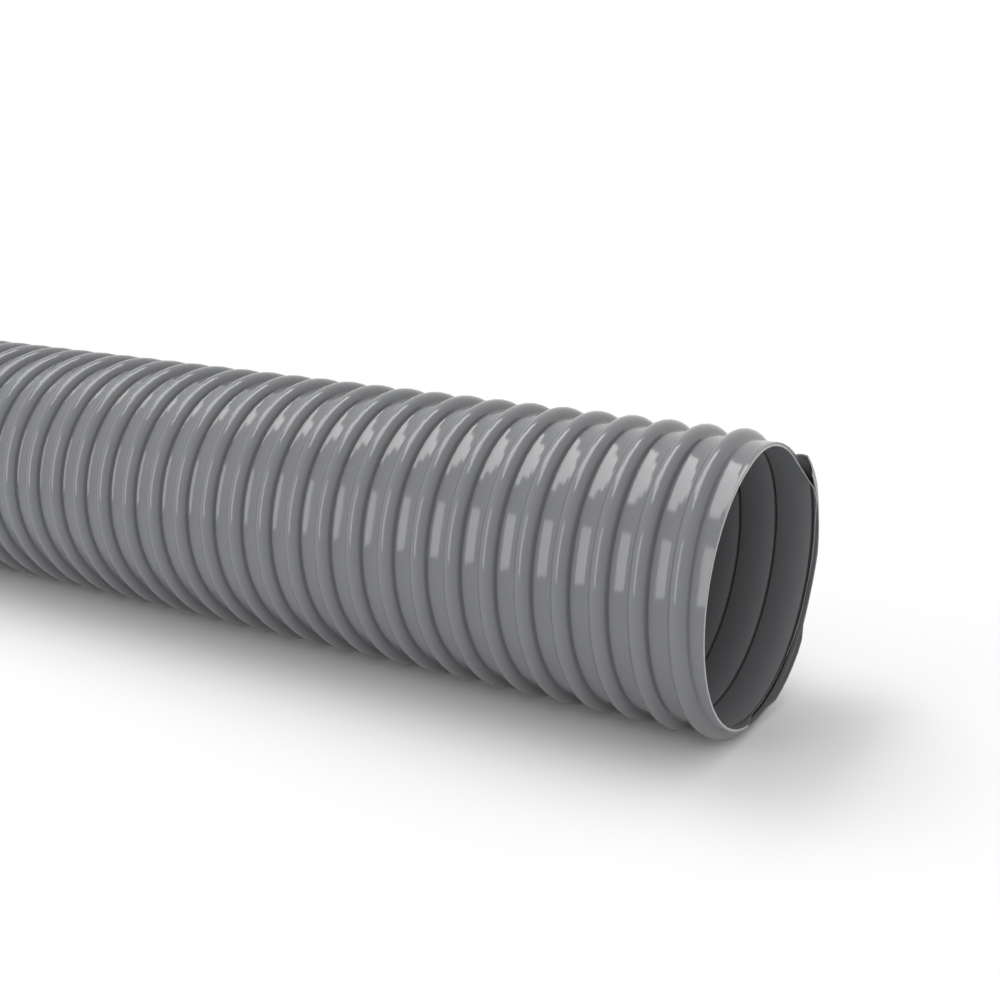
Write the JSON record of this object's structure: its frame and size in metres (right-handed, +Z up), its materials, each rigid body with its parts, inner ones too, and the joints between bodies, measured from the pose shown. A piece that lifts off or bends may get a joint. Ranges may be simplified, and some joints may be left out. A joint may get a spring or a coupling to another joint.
{
  "type": "sewer hose",
  "caption": "Straight length of smooth-bore grey PVC drain hose with a hollow half-round rib winding round it as a helix, cut bare at both ends.",
  "frame": {"origin": "on the ground under the middle of the hose, which lies on the lowest points of its rib", "axes": "+X along the hose towards its trimmed mouth, +Z up"},
  "size_m": [0.9144, 0.0836, 0.0837],
  "materials": {
    "liner_pvc": "smooth, semi-matte extruded PVC",
    "cover_pvc": "glossy extruded PVC"
  },
  "bodies": {
    "root": {"bore_liner": "liner_pvc", "ribbed_cover": "cover_pvc"}
  },
  "joints": []
}
